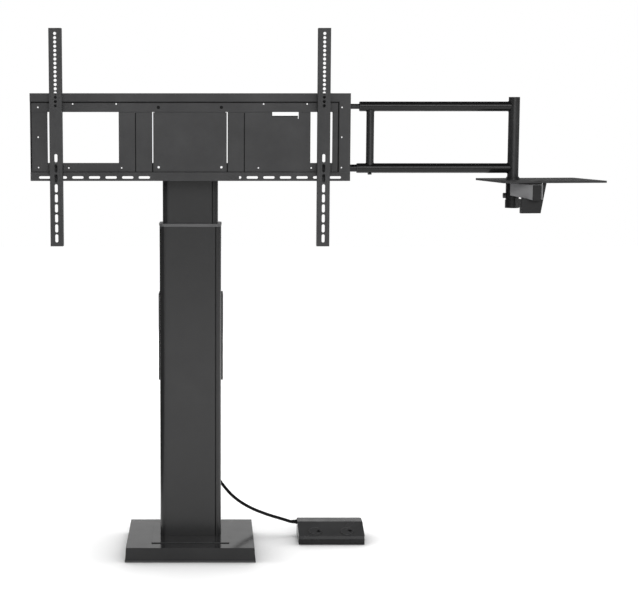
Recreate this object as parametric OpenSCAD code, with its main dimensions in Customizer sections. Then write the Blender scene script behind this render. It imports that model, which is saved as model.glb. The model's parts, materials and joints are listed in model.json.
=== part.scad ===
// Motorised column stand for a large display, with a frame, two display arms,
// a telescopic side arm that carries a laptop tray, and a wired floor console.
// Millimetres, +Z up. The origin is on the floor under the column's axis,
// the display side faces -Y, and the wall is on the +Y side.

/* [Base] */
// Width of the base plate
base_w = 400; // [340:1:560]
// From the column's axis to the front edge of the base plate
base_front = 202; // [160:1:300]
// From the column's axis to the wall behind the base
base_back = 152; // [135:1:220]
// Height of the base cover's top above the floor
base_h = 45; // [36:1:60]
// Distance that each side of the cover leans in
cover_lean = 2; // [1:0.5:8]
// Sheet thickness of the base cover
cover_t = 2; // [1:0.5:3]
// Distance that the base plate stands out past the cover
plate_lip = 1.5; // [0.5:0.5:4]
// Thickness of the base plate
plate_t = 5; // [4:1:8]
// Thickness of the rubber floor pads
pad_h = 1; // [1:0.5:4]
// Diameter of the rubber floor pads
pad_d = 40; // [20:1:60]
// Width of the steel flange under the column
flange_w = 260; // [240:1:300]
// Depth of the steel flange under the column
flange_d = 180; // [170:1:240]
// Thickness of the steel flange under the column
flange_t = 12; // [8:1:14]
// Width of the trim plate round the column's foot
trim_w = 240; // [210:1:290]
// From the column's axis to the trim plate's front edge
trim_front = 144; // [80:1:150]
// Thickness of the trim plate
trim_t = 2.5; // [1.5:0.5:5]

/* [Column] */
// Width of the outer column tube
outer_w = 190; // [180:1:240]
// Depth of the outer column tube
outer_d = 120; // [112:1:160]
// Wall of the outer column tube
outer_wall = 4; // [3:0.5:5]
// Height of the outer column tube's top above the floor
column_top = 1017; // [900:1:1060]
// Width of the inner column tube
inner_w = 170; // [150:1:172]
// Depth of the inner column tube
inner_d = 104; // [96:1:106]
// Wall of the inner column tube
inner_wall = 3; // [2:0.5:4]
// Length of the inner column tube
inner_len = 900; // [860:1:1000]
// Corner radius of both column tubes
corner_r = 16; // [8:1:16]
// Width of the decorative grooves in the tubes' faces
groove_w = 3.5; // [2:0.5:6]
// Depth of the decorative grooves
groove_deep = 1.5; // [0.5:0.1:1.6]
// From a tube's side to the middle of its groove
groove_in = 17; // [13:0.5:24]
// Height of the collar on the outer tube
collar_h = 9; // [6:1:24]
// Distance that the collar's top edge stands out past the outer tube
collar_lip = 1.5; // [0.5:0.5:4]
// Length of each glide pad
glide_len = 50; // [30:1:60]
// Width of each glide pad
glide_w = 30; // [16:1:40]

/* [Drive] */
// Upward travel of the column from the height shown
travel_up = 375; // [300:1:400]
// Diameter of the lead screw
screw_d = 18; // [14:1:24]
// Diameter of the lead screw's bearing journal
journal_d = 15; // [10:1:17]
// Diameter of the motor
motor_d = 62; // [50:1:80]
// Length of the motor
motor_len = 130; // [100:1:140]
// Diameter of the reduction gearhead
gearhead_d = 56; // [44:1:64]
// Length of the reduction gearhead
gearhead_len = 60; // [40:1:70]
// Diameter of the shaft coupling
coupling_d = 30; // [26:1:40]
// Length of the shaft coupling
coupling_len = 40; // [30:1:50]
// Outer diameter of the thrust bearing
bearing_d = 32; // [28:1:40]
// Height of the thrust bearing
bearing_h = 14; // [8:1:16]
// Outer diameter of the spindle nut's body
nut_d = 30; // [28:1:40]
// Length of the spindle nut's body
nut_len = 46; // [30:1:60]
// Thickness of the plate that carries the nut
nut_plate_t = 8; // [5:1:12]

/* [Frame] */
// Height of the frame's middle above the floor
display_z = 1291; // [1281:1:1330]
// Width of the frame
frame_w = 960; // [900:1:1100]
// Height of the frame
frame_h = 262; // [242:1:280]
// From the column's axis to the front of the frame's panels
frame_y = 130; // [110:1:160]
// Sheet thickness of the rails, panels and posts
sheet_t = 2; // [1.5:0.5:2.5]
// Height of the top rail's front strip
top_strip = 25; // [18:1:28]
// Height of the bottom rail's slotted front strip
bottom_strip = 26; // [20:1:30]
// Height of the top rail's front, down to the windows
top_beam_h = 56; // [50:1:66]
// Height of the bottom rail's front, up to the windows
beam_h = 54; // [48:1:64]
// Distance that the strips stand out past the panels
strip_proud = 4; // [3:0.5:8]
// Depth of the rails from front to back
rail_depth = 34; // [28:1:44]
// Width of each end plate
end_w = 52.5; // [44:0.5:60]
// Width of each upright post
post_w = 48.7; // [40:0.1:49]
// Seam between neighbouring plates
seam = 1; // [0.6:0.1:1.6]
// Half the width of the open gap between a post and the middle panel
slit = 3.8; // [3:0.1:6]
// Width of the middle panel
centre_w = 221; // [200:1:224]
// Width of the narrow panel beside the left window
left_panel_w = 50; // [36:1:90]
// Width of the device panel
device_w = 198; // [150:0.1:204]
// Width of the cable notch in the device panel
notch_w = 79; // [50:1:110]
// Depth of the cable notch in the device panel
notch_h = 10; // [8:1:24]
// From the device panel's inner edge to the cable notch
notch_in = 83; // [40:1:84]
// Pitch of the bottom rail's slots
rail_slot_pitch = 50; // [44:1:56]
// Length of the bottom rail's slots
rail_slot_len = 34; // [24:1:38]
// Height of the bottom rail's slots
rail_slot_h = 7.5; // [5:0.5:10]
// Diameter of the frame bolts
frame_bolt_d = 8; // [6:1:10]
// Diameter of the small holes in the frame
small_hole_d = 4.5; // [3:0.5:7]

/* [Display arms] */
// From the column's axis to each display arm
arm_x = 400; // [300:1:420]
// Width of a display arm
arm_w = 37.5; // [30:0.5:44]
// Length of a display arm
arm_len = 648; // [600:1:660]
// Height of a display arm's middle over the frame's middle
arm_offset = -2; // [-6:1:6]
// From the column's axis to a display arm's face
arm_face_y = 165; // [160:1:175]
// Sheet thickness of a display arm
arm_t = 2.5; // [2:0.5:3]
// Diameter of the round display holes
hole_d = 9; // [6.5:0.5:10]
// Pitch of the round display holes
hole_pitch = 12.5; // [11.5:0.5:13.5]
// Number of round display holes in an arm
hole_count = 18; // [10:1:20]
// Length of the display slots
slot_len = 24.5; // [14:0.5:26]
// Width of the display slots
slot_w = 9; // [6.5:0.5:10]
// Pitch of the display slots
slot_pitch = 30; // [28:1:34]
// Number of display slots in an arm
slot_count = 9; // [4:1:10]
// From an arm's end to the first hole
hole_end = 16; // [12:1:24]
// From an arm's end to the middle of the first slot
slot_end = 24; // [20:1:36]
// Running clearance between an arm's hooks and the rails
hook_gap = 0.3; // [0.2:0.1:0.6]
// Thickness of the hooks' metal over and behind the rail
hook_t = 8; // [5:1:12]
// From a display arm's side to the middle of its hook plate
hook_in = 6.5; // [4:0.5:8]

/* [Side arm] */
// From the column's axis to the pole
pole_x = 976; // [900:1:1100]
// From the column's axis to the plane of the arm's tubes
rod_y = 110; // [106:1:114]
// From the frame's top to the upper tube's axis
upper_drop = 39; // [36:1:50]
// From the frame's bottom to the lower tube's axis
lower_rise = 38; // [34:1:50]
// Diameter of the upper slide rod
upper_rod_d = 15.6; // [10:0.2:18]
// Diameter of the lower slide rod
lower_rod_d = 22; // [14:0.2:22]
// Diameter of the arm's tubes
tube_d = 29.5; // [28.5:0.5:34]
// Wall of the arm's tubes
tube_wall = 2; // [1.5:0.5:2]
// Gap between the frame and the tubes
tube_gap = 26; // [24:1:60]
// From the lower tube's end to the upper one's
upper_tube_in = 6.5; // [0:0.5:14]
// From the lower tube's end to the brace post
brace_in = 37; // [30:1:80]
// Diameter of the brace post
brace_d = 23.5; // [16:0.5:27]
// Diameter of the pole
pole_d = 33.5; // [30:0.5:36]
// Wall of the pole
pole_wall = 2.5; // [1.5:0.5:4]
// Length of the slide rods that lies inside the tubes
rod_inside = 300; // [280:1:360]
// Length of the bushes in the tubes' ends
bush_len = 30; // [16:1:34]

/* [Tray] */
// Height of the tray's top above the floor
tray_z = 1163; // [1158:1:1170]
// Width of the tray
tray_w = 318; // [280:1:360]
// Depth of the tray
tray_d = 280; // [240:1:320]
// Sheet thickness of the tray
tray_t = 2.5; // [1.5:0.5:3]
// Height of the tray's folded rim
rim_h = 6; // [5:0.5:8]
// Corner radius of the tray
tray_r = 8; // [4:1:20]
// From the pole to the tray's middle, along its width
tray_side = 90; // [70:1:100]
// From the pole to the tray's middle, along its depth
tray_ahead = 12; // [0:1:20]
// Turn of the tray about the pole
tray_turn = 8; // [0:1:30]
// Turn of the carrier under the tray
carrier_turn = 16; // [8:1:20]
// Outer diameter of the tray's hub
hub_d = 40; // [38:0.5:44]
// Length of the carrier from the pole
carrier_len = 128; // [115:1:140]
// Width of the carrier
carrier_w = 36; // [34:1:40]
// Height of the carrier's sides at its front
carrier_h = 45; // [40:1:50]
// Thickness of the plate between the tray and the carrier
hub_plate_t = 8; // [5:1:10]
// Outer diameter of the stop collar at the pole's foot
stop_d = 43; // [41:0.5:48]
// Height of the stop collar
stop_h = 24; // [18:1:28]
// Length of the hub's sleeve below the hub plate
sleeve_len = 50.2; // [44:0.1:56]

/* [Console] */
// From the column's axis to the console's left side
console_x = 343; // [320:1:380]
// From the column's axis to the console's front, away from the viewer
console_y = 0; // [-20:1:20]
// Width of the console
console_w = 210; // [180:1:240]
// Depth of the console
console_d = 134; // [124:1:150]
// Height of the console
console_h = 55; // [50:1:62]
// Height of the console's front face
console_front_h = 27.4; // [24:0.2:32]
// Depth of the flat top behind the slope
console_flat = 51; // [40:1:56]
// Height of the seam between the console's shells
console_seam_z = 18.4; // [16:0.2:20]
// Wall of the console's shells
console_wall = 2.5; // [2:0.5:3]
// Height of the console's feet
console_foot_h = 1; // [1:0.5:3]
// Diameter of the buttons
button_d = 44; // [30:1:46]
// Distance between the buttons
button_pitch = 101; // [80:1:110]
// Height of the buttons over the slope
button_proud = 2.4; // [2.2:0.1:4]
// Travel of the buttons
button_travel = 2; // [1:0.5:2]

/* [Cord] */
// Diameter of the control cord
cord_d = 10; // [5:0.5:10]
// Length of each strain relief
gland_len = 20; // [14:1:24]

/* [Hidden] */
$fn = 48;

// Clearances: parts of one body that meet without a press fit, and shafts that turn
fit = 0.3;
running = 0.05;
eps = 1;

plate_z = pad_h + plate_t;
flange_top = plate_z + flange_t;
cover_half = base_w / 2 - plate_lip;
trim_back = 110;
hex_af = 16;
hex_h = 6.4;
bolt_d = 10;

outer_in_x = outer_w / 2 - outer_wall;
outer_in_y = outer_d / 2 - outer_wall;
inner_x = inner_w / 2;
inner_y = inner_d / 2;

frame_top = display_z + frame_h / 2;
frame_bottom = display_z - frame_h / 2;
strip_front = -frame_y - strip_proud;
rail_back = strip_front + rail_depth;
panel_back = -frame_y + sheet_t;
window_top = frame_top - top_beam_h;
window_bottom = frame_bottom + beam_h;
lip_h = 25;
// The slot of the right side that a post's tab covers is open past its middle by this
slot_tab_past = 10.5;
rail_slot_z = frame_bottom + 10.5;
function slot_x(i) = frame_w / 2 - 42.5 - i * rail_slot_pitch;
// Overlap of the hidden strips that close the seams between the plates
lap = 4;
panel_low = frame_bottom + bottom_strip + seam;
panel_high = window_top - seam;
post_in = centre_w / 2 + slit;
post_out = post_in + post_w;
post_back = rail_back - sheet_t - 2;

inner_top = display_z + 75;
inner_bottom = inner_top - inner_len;

motor_top = flange_top + motor_len;
gearhead_top = motor_top + gearhead_len;
coupling_z = gearhead_top + 8;
coupling_top = coupling_z + coupling_len;
bearing_z = coupling_top + 8;
bearing_top = bearing_z + bearing_h;
nut_flange_d = 46;
nut_flange_h = 8;
nut_low = inner_bottom - nut_plate_t - nut_flange_h;
screw_top = nut_low + nut_flange_h + nut_len + travel_up + 12;

upper_z = frame_top - upper_drop;
lower_z = frame_bottom + lower_rise;
holder_t = 2;
holder_w = 32;
end_hole_in = 24;
tube_x = frame_w / 2 + tube_gap;
tube_bore = tube_d - 2 * tube_wall;
pole_gap = pole_d / 2 + 0.1;
rod_start = frame_w / 2 - 18;
rod_end = tube_x + rod_inside;
brace_x = tube_x + brace_in;
pole_top = upper_z + 25;

tray_low = tray_z - tray_t;
hub_low = tray_low - hub_plate_t;
sleeve_low = hub_low - sleeve_len;
stop_low = sleeve_low - 0.3 - stop_h;
knob_z = sleeve_low + 13;
knob_d = 16;

bracket_w = 204;
bracket_low = 522;
bracket_h = 284;
bracket_t = 3;
bracket_chamfer = [4, 10];
wall_bolt_x = 160;
wall_bolt_z = 204;
wall_bolt_d = 9;
wall_flange_w = 40;
column_bolt_x = 60;
column_bolt_in = 50;

box_x = [-80, 88];
box_z = [290, 460];
box_depth = 45;
box_wall = 2;
box_y = outer_d / 2;

slope_run = console_d - console_flat;
slope_rise = console_h - console_front_h;
slope_angle = atan(slope_rise / slope_run);
button_up_slope = 30;
button_flange = 2;
button_skirt = 6;
board_n = 16;
boss_in = button_d / 2 + 5;
console_mid = console_x + console_w / 2;

// The cord's route from the control box's strain relief to the console's
gland_a = [80, outer_d / 2 + 32, box_z[0]];
gland_b = [console_x, console_y + 112, 47];
cord_route = [
    [80, 92, 270], [80, 92, 257], [80, 92, 244], [80.1, 92, 231], [81.3, 92, 217], [84.9, 92, 203],
    [91, 92, 190], [98, 92.5, 179.5], [106, 93, 169], [114, 94, 159], [122, 94, 149.5], [132, 95, 139],
    [143, 96, 129], [155, 97, 119.5], [168, 98, 110.5], [184, 99, 101], [200, 100.5, 92.5],
    [216, 102, 85], [233, 103, 78.3], [249, 104, 72.2], [265, 105.5, 66.6], [282, 107, 61.1],
    [298, 108.5, 56], [311, 110.5, 51.3], [323, 112, 47]
];

// A box from its lowest to its highest corner
module block(low, high) {
    translate(low) cube(high - low);
}

// A rectangle with round corners, about the origin
module round_rect(w, d, r) {
    square([w - 2 * r, d], center = true);
    square([w, d - 2 * r], center = true);
    for (sx = [-1, 1], sy = [-1, 1]) {
        translate([sx * (w / 2 - r), sy * (d / 2 - r)]) circle(r);
    }
}

// A bar or tube along X from x0 to x1
module bar_x(x0, x1, y, z, d) {
    translate([x0, y, z]) rotate([0, 90, 0]) cylinder(d = d, h = x1 - x0);
}

// A hole along Y through a plate whose middle is at y
module hole_y(x, y, z, d, h = 10) {
    translate([x, y, z]) rotate([90, 0, 0]) cylinder(d = d, h = h, center = true);
}

// A slot along Z or X through a plate whose middle is at y
module slot_y(x, y, z, len, w, along_z) {
    half = (len - w) / 2;
    for (s = [-1, 1]) {
        hole_y(x + (along_z ? 0 : s * half), y, z + (along_z ? s * half : 0), w);
    }
    size = along_z ? [w, 10, 2 * half] : [2 * half, 10, w];
    translate([x, y, z]) cube(size, center = true);
}

// A YZ outline extruded along X from x0 to x1
module extrude_x(x0, x1) {
    translate([x0, 0, 0]) rotate([90, 0, 90]) linear_extrude(x1 - x0) children();
}

// A hexagon-headed bolt that points down from the origin, head above
module hex_bolt(shank) {
    cylinder(d = hex_af / cos(30), h = hex_h, $fn = 6);
    translate([0, 0, -shank]) cylinder(d = bolt_d, h = shank + eps);
}

module flange_bolt_places() {
    for (sx = [-1, 1], sy = [-1, 1]) {
        translate([sx * (flange_w / 2 - 16), sy * (flange_d / 2 - 12), flange_top]) children();
    }
}

module bracket_bolt_places() {
    for (sx = [-1, 1], z = [column_bolt_in, bracket_h - column_bolt_in]) {
        translate([sx * column_bolt_x, outer_d / 2 + bracket_t, bracket_low + z]) rotate([-90, 0, 0]) children();
    }
}

// Base

module floor_pads() {
    back_in = base_back - pad_d / 2 - 10;
    front_in = -base_front + pad_d / 2 + 10;
    color("black") {
        cylinder(d = pad_d, h = pad_h);
        for (sx = [-1, 1], y = [front_in, (front_in + back_in) / 2, back_in]) {
            translate([sx * (base_w / 2 - pad_d / 2 - 10), y, 0]) cylinder(d = pad_d, h = pad_h);
        }
    }
}

module base_plate() {
    color("dimgray") difference() {
        block([-base_w / 2, -base_front, pad_h], [base_w / 2, base_back, plate_z]);
        flange_bolt_places() cylinder(d = bolt_d + 2 * fit, h = 100, center = true);
    }
}

// The cover's outer or inner form, drawn in by a wall on every side
module cover_form(wall, z0, z1) {
    lean_at = [for (z = [z0, z1]) cover_lean * (z - plate_z) / (base_h - plate_z)];
    intersection() {
        translate([0, 500, 0]) rotate([90, 0, 0]) linear_extrude(1000) polygon([
            [-cover_half + wall + lean_at[0], z0], [cover_half - wall - lean_at[0], z0],
            [cover_half - wall - lean_at[1], z1], [-cover_half + wall + lean_at[1], z1]
        ]);
        extrude_x(-500, 500) polygon([
            [-base_front + plate_lip + wall + lean_at[0], z0], [base_back - plate_lip - wall - lean_at[0], z0],
            [base_back - plate_lip - wall - lean_at[1], z1], [-base_front + plate_lip + wall + lean_at[1], z1]
        ]);
    }
}

module column_opening(height) {
    linear_extrude(height, center = true) round_rect(outer_w + 2 * fit, outer_d + 2 * fit, corner_r + fit);
}

module base_cover() {
    color([0.1, 0.1, 0.1]) difference() {
        cover_form(0, plate_z, base_h);
        cover_form(cover_t, plate_z - eps, base_h - cover_t);
        translate([0, 0, base_h]) column_opening(20);
    }
}

module foot_trim() {
    color([0.12, 0.12, 0.12]) translate([0, 0, base_h]) difference() {
        block([-trim_w / 2, -trim_front, 0], [trim_w / 2, trim_back, trim_t]);
        column_opening(20);
    }
}

module column_flange() {
    color("gray") difference() {
        block([-flange_w / 2, -flange_d / 2, plate_z], [flange_w / 2, flange_d / 2, flange_top]);
        flange_bolt_places() cylinder(d = bolt_d + 2 * fit, h = 100, center = true);
    }
}

module hex_bolts() {
    color("silver") {
        flange_bolt_places() hex_bolt(flange_t + plate_t - 1);
        bracket_bolt_places() hex_bolt(bracket_t + outer_wall);
    }
}

// Column

// A column tube's outline with its decorative grooves
module tube_outline(w, d) {
    difference() {
        round_rect(w, d, corner_r);
        for (sx = [-1, 1], sy = [-1, 1]) {
            translate([sx * (w / 2 - groove_in), sy * d / 2]) square([groove_w, 2 * groove_deep], center = true);
        }
    }
}

module column_tube(w, d, wall, length) {
    linear_extrude(length) difference() {
        tube_outline(w, d);
        round_rect(w - 2 * wall, d - 2 * wall, corner_r - wall);
    }
}

module outer_column() {
    color([0.13, 0.13, 0.13]) difference() {
        translate([0, 0, flange_top]) column_tube(outer_w, outer_d, outer_wall, column_top - flange_top);
        bracket_bolt_places() cylinder(d = bolt_d + 2 * fit, h = 30, center = true);
    }
}

module column_collar() {
    color([0.3, 0.3, 0.3]) translate([0, 0, column_top]) difference() {
        hull() {
            linear_extrude(0.5) round_rect(outer_w, outer_d, corner_r);
            translate([0, 0, collar_h - 0.5])
                linear_extrude(0.5) round_rect(outer_w + 2 * collar_lip, outer_d + 2 * collar_lip, corner_r + collar_lip);
        }
        linear_extrude(100, center = true)
            round_rect(inner_w + 2 * fit, inner_d + 2 * fit, corner_r + fit);
    }
}

// Pads on the four sides between the tubes, seated on the one and 0.3 mm off the other
module glide_pads(z, seat_x, seat_y, face_x, face_y) {
    for (s = [-1, 1], side = [-1, 1]) {
        x = s * (seat_x + face_x) / 2;
        y = s * (seat_y + face_y) / 2;
        translate([x, side * (outer_d / 4 - 5), z + glide_len / 2])
            cube([abs(seat_x - face_x), glide_w, glide_len], center = true);
        translate([side * (outer_w / 4), y, z + glide_len / 2])
            cube([glide_w, abs(seat_y - face_y), glide_len], center = true);
    }
}

module upper_glide_pads() {
    color("ivory")
        glide_pads(column_top - 10 - glide_len, outer_in_x, outer_in_y, inner_x + fit, inner_y + fit);
}

module lower_glide_pads() {
    color("ivory") glide_pads(inner_bottom, inner_x, inner_y, outer_in_x - fit, outer_in_y - fit);
}

// Drive

module motor() {
    color("dimgray") difference() {
        union() {
            translate([0, 0, flange_top]) cylinder(d = motor_d, h = motor_len);
            translate([0, 0, flange_top]) cylinder(d = motor_d + 14, h = 5);
            translate([0, motor_d / 2 - 4, flange_top + 20]) block([-12, 0, 0], [12, 12, 18]);
        }
        translate([0, 0, motor_top - 3]) cylinder(d = gearhead_d - 12, h = 10);
    }
}

module gearhead() {
    color("gray") difference() {
        translate([0, 0, motor_top]) cylinder(d = gearhead_d, h = gearhead_len);
        translate([0, 0, gearhead_top - 20]) cylinder(d = journal_d - 3 + 2 * running, h = 40);
    }
}

module bearing_block() {
    color("gray") difference() {
        block([-outer_in_x, -outer_in_y + 14, bearing_z - 4], [outer_in_x, outer_in_y - 14, bearing_top]);
        translate([0, 0, bearing_z]) cylinder(d = bearing_d + 2 * running, h = 60);
        cylinder(d = journal_d + 4, h = 1000);
    }
}

module thrust_bearing() {
    color("silver") translate([0, 0, bearing_z]) difference() {
        cylinder(d = bearing_d, h = bearing_h);
        cylinder(d = journal_d + 2 * running, h = 100, center = true);
    }
}

module lead_screw() {
    color("silver") {
        translate([0, 0, bearing_top + fit]) cylinder(d = screw_d, h = screw_top - bearing_top - fit);
        translate([0, 0, coupling_top - 20]) cylinder(d = journal_d, h = bearing_top + fit + eps - coupling_top + 20);
    }
}

module shaft_coupling() {
    color("silver") difference() {
        union() {
            translate([0, 0, coupling_z]) cylinder(d = coupling_d, h = coupling_len);
            translate([0, 0, gearhead_top - 18]) cylinder(d = journal_d - 3, h = 30);
        }
        translate([0, 0, coupling_top - 20]) cylinder(d = journal_d + 2 * running, h = 40);
    }
}

module nut_plate() {
    color("gray") difference() {
        translate([0, 0, inner_bottom - nut_plate_t])
            linear_extrude(nut_plate_t) round_rect(inner_w - 2, inner_d - 2, corner_r);
        cylinder(d = nut_d + 2 * fit, h = 3000);
    }
}

module spindle_nut() {
    color("goldenrod") translate([0, 0, nut_low]) difference() {
        union() {
            cylinder(d = nut_flange_d, h = nut_flange_h);
            cylinder(d = nut_d, h = nut_flange_h + nut_len);
        }
        cylinder(d = screw_d + 2 * running, h = 400, center = true);
    }
}

module inner_column() {
    color([0.15, 0.15, 0.15]) translate([0, 0, inner_bottom]) column_tube(inner_w, inner_d, inner_wall, inner_len);
}

module column_cap() {
    color([0.1, 0.1, 0.1]) translate([0, 0, inner_top]) {
        linear_extrude(4) round_rect(inner_w, inner_d, corner_r);
        translate([0, 0, -12]) linear_extrude(12 + eps)
            round_rect(inner_w - 2 * inner_wall - 2 * fit, inner_d - 2 * inner_wall - 2 * fit, corner_r - inner_wall);
    }
}

// Wall bracket and control box

module wall_bracket() {
    y0 = outer_d / 2;
    half = bracket_w / 2;
    inner_half = half - bracket_t;
    top = bracket_low + bracket_h;
    color([0.08, 0.08, 0.08]) difference() {
        union() {
            translate([0, y0 + bracket_t, 0]) rotate([90, 0, 0]) linear_extrude(bracket_t) polygon([
                [-half, bracket_low], [half, bracket_low], [half, top - bracket_chamfer[1]],
                [half - bracket_chamfer[0], top], [-half + bracket_chamfer[0], top], [-half, top - bracket_chamfer[1]]
            ]);
            for (s = [-1, 1]) {
                side = [min(s * inner_half, s * half), max(s * inner_half, s * half)];
                turn = [min(s * inner_half, s * (half - wall_flange_w)), max(s * inner_half, s * (half - wall_flange_w))];
                block([side[0], y0, bracket_low], [side[1], base_back, top - bracket_chamfer[1]]);
                block([turn[0] - eps, base_back - bracket_t, bracket_low],
                      [turn[1] + eps, base_back, top - bracket_chamfer[1]]);
            }
        }
        bracket_bolt_places() cylinder(d = bolt_d + 2 * fit, h = 30, center = true);
        for (sx = [-1, 1], sz = [-1, 1]) {
            hole_y(sx * wall_bolt_x / 2, base_back, bracket_low + bracket_h / 2 + sz * wall_bolt_z / 2, wall_bolt_d, 20);
        }
    }
}

module control_box() {
    y1 = box_y + box_depth;
    color([0.09, 0.09, 0.09]) difference() {
        block([box_x[0], box_y, box_z[0]], [box_x[1], y1, box_z[1]]);
        difference() {
            block([box_x[0] + box_wall, box_y + box_wall, box_z[0] + box_wall],
                  [box_x[1] - box_wall, y1 + eps, box_z[1] - box_wall]);
            for (x = [box_x[0] + 14, box_x[1] - 14], z = [box_z[0] + 30, box_z[1] - 14]) {
                translate([x, box_y, z]) rotate([-90, 0, 0]) cylinder(d = 8, h = 10);
            }
        }
        translate([gland_a[0], gland_a[1], box_z[0]]) cylinder(d = gland_neck + 2 * running, h = 20, center = true);
        inlet_place() block([-13.8, -10, -eps], [13.8, 10, box_wall + eps]);
    }
}

module control_lid() {
    y1 = box_y + box_depth;
    color([0.09, 0.09, 0.09]) block([box_x[0], y1, box_z[0]], [box_x[1], y1 + box_wall, box_z[1]]);
}

module control_board() {
    front = box_y + 10;
    board_t = 1.6;
    supply = [55, 25, 60];
    relays = [50, 13, 25];
    can = [16, 24, 22];
    color("darkgreen") {
        block([box_x[0] + 6, front, box_z[0] + 24], [box_x[1] - 6, front + board_t, box_z[1] - 6]);
        translate([box_x[0] + 20, front + board_t / 2, box_z[0] + 50]) cube(supply);
        translate([box_x[1] - 20 - relays[0], front + board_t / 2, box_z[0] + 60]) cube(relays);
        for (i = [0:2]) {
            translate([box_x[1] - 30 - can[2] * i, front + board_t / 2, box_z[0] + 130])
                rotate([-90, 0, 0]) cylinder(d = can[0], h = can[1]);
        }
    }
}

// The power inlet's place: the middle of its mouth, on the box's underside
module inlet_place() {
    translate([box_x[0] + 36, box_y + box_depth / 2, box_z[0]]) children();
}

module power_inlet() {
    color("black") inlet_place() difference() {
        union() {
            block([-13.5, -9.7, -eps], [13.5, 9.7, 20]);
            block([-17, -13, -2.5], [17, 13, 0]);
        }
        block([-12, -8.2, -10], [12, 8.2, 16]);
    }
    color("silver") inlet_place() {
        for (x = [-7, 0, 7]) {
            block([x - 1, (x == 0 ? 3 : -3) - 2, 4], [x + 1, (x == 0 ? 3 : -3) + 2, 17]);
        }
    }
}

// A strain relief that points down from the origin, with a flange and a neck for its wall
gland_neck = 11;
module strain_relief() {
    rotate_extrude() polygon([
        [0, -gland_len], [cord_d / 2 + 1, -gland_len], [gland_neck / 2 + 1, -3], [gland_neck / 2 + 2, -3],
        [gland_neck / 2 + 2, 0], [gland_neck / 2, 0], [gland_neck / 2, 6], [0, 6]
    ]);
}

module cord_glands() {
    color("black") {
        translate(gland_a) strain_relief();
        translate(gland_b) rotate([0, 90, 0]) strain_relief();
    }
}

// A tube swept along a route that never runs along Y, as one polyhedron
module swept_tube(route, d, sides) {
    n = len(route);
    tangents = [for (i = [0:n - 1]) unit(route[min(i + 1, n - 1)] - route[max(i - 1, 0)])];
    starts = [for (i = [0:n - 1]) i == 0 ? [0, 0, -1] : i == n - 1 ? [1, 0, 0] : tangents[i]];
    rings = [for (i = [0:n - 1]) ring(route[i], starts[i], d / 2, sides)];
    points = [for (r = rings, p = r) p];
    sides_faces = [for (i = [0:n - 2], k = [0:sides - 1])
        let (a = i * sides + k, b = i * sides + (k + 1) % sides)
        for (f = [[a, a + sides, b + sides], [a, b + sides, b]]) f];
    first = [for (k = [0:sides - 1]) k];
    last = [for (k = [sides - 1:-1:0]) (n - 1) * sides + k];
    polyhedron(points, concat(sides_faces, [first], [last]));
}
function unit(v) = v / norm(v);
function ring(p, t, r, sides) =
    let (u = unit(cross(t, [0, 1, 0])), v = cross(t, u))
    [for (k = [0:sides - 1]) p + r * (cos(360 * k / sides) * u + sin(360 * k / sides) * v)];

module control_cord() {
    color("black") swept_tube(cord_route, cord_d, 10);
}

// Console

// The console's side outline, drawn in by a wall
module console_outline(wall) {
    y0 = console_y + wall;
    y1 = console_y + console_d - wall;
    drop = wall / cos(slope_angle) - wall * tan(slope_angle);
    polygon([
        [y0, console_foot_h + wall], [y0, console_front_h - drop],
        [console_y + slope_run + wall * tan(slope_angle / 2), console_h - wall],
        [y1, console_h - wall], [y1, console_foot_h + wall]
    ]);
}

module console_form(wall) {
    intersection() {
        extrude_x(console_x - 10, console_x + console_w + 10) console_outline(wall);
        translate([console_mid, console_y + console_d / 2, 0])
            linear_extrude(200) round_rect(console_w - 2 * wall, console_d - 2 * wall, 6 - wall);
    }
}

// A frame on the slope: X along the console, Y up the slope, Z out of it
module on_slope(side) {
    translate([console_mid + side * button_pitch / 2, console_y, console_front_h])
        rotate([slope_angle, 0, 0]) translate([0, button_up_slope, 0]) children();
}

module console_base() {
    color([0.12, 0.12, 0.12]) intersection() {
        difference() {
            console_form(0);
            console_form(console_wall);
        }
        block([console_x - 20, console_y - 20, 0], [console_x + console_w + 20, console_y + 200, console_seam_z]);
    }
}

module console_top() {
    color([0.12, 0.12, 0.12]) difference() {
        union() {
            difference() {
                console_form(0);
                console_form(console_wall);
            }
            for (side = [-1, 1], x = [-boss_in, boss_in]) {
                on_slope(side) translate([x, 0, -board_n]) cylinder(d = 5, h = board_n - console_wall + 0.5);
            }
        }
        block([console_x - 20, console_y - 20, -10], [console_x + console_w + 20, console_y + 200, console_seam_z]);
        // The shadow seam round the upper shell's lower edge
        difference() {
            block([console_x - 20, console_y - 20, console_seam_z - eps],
                  [console_x + console_w + 20, console_y + 200, console_seam_z + 0.8]);
            translate([console_mid, console_y + console_d / 2, 0])
                linear_extrude(100) round_rect(console_w - 1.6, console_d - 1.6, 5.2);
        }
        for (side = [-1, 1]) {
            on_slope(side) cylinder(d = button_d + 0.6, h = 20, center = true);
        }
        translate(gland_b) rotate([0, 90, 0]) cylinder(d = gland_neck + 2 * running, h = 20, center = true);
    }
}

module console_feet() {
    color("black")
        for (sx = [-1, 1], y = [14, console_d - 14]) {
            translate([console_mid + sx * (console_w / 2 - 16), console_y + y, 0]) cylinder(d = 14, h = console_foot_h);
        }
}

module console_board() {
    color("darkgreen") on_slope(0) {
        block([-button_pitch / 2 - boss_in - 5, -9, -board_n - 1.6], [button_pitch / 2 + boss_in + 5, 9, -board_n]);
    }
    color("black")
        for (side = [-1, 1]) {
            on_slope(side) block([-5, -5, -board_n], [5, 5, -board_n + 4]);
        }
}

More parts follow.
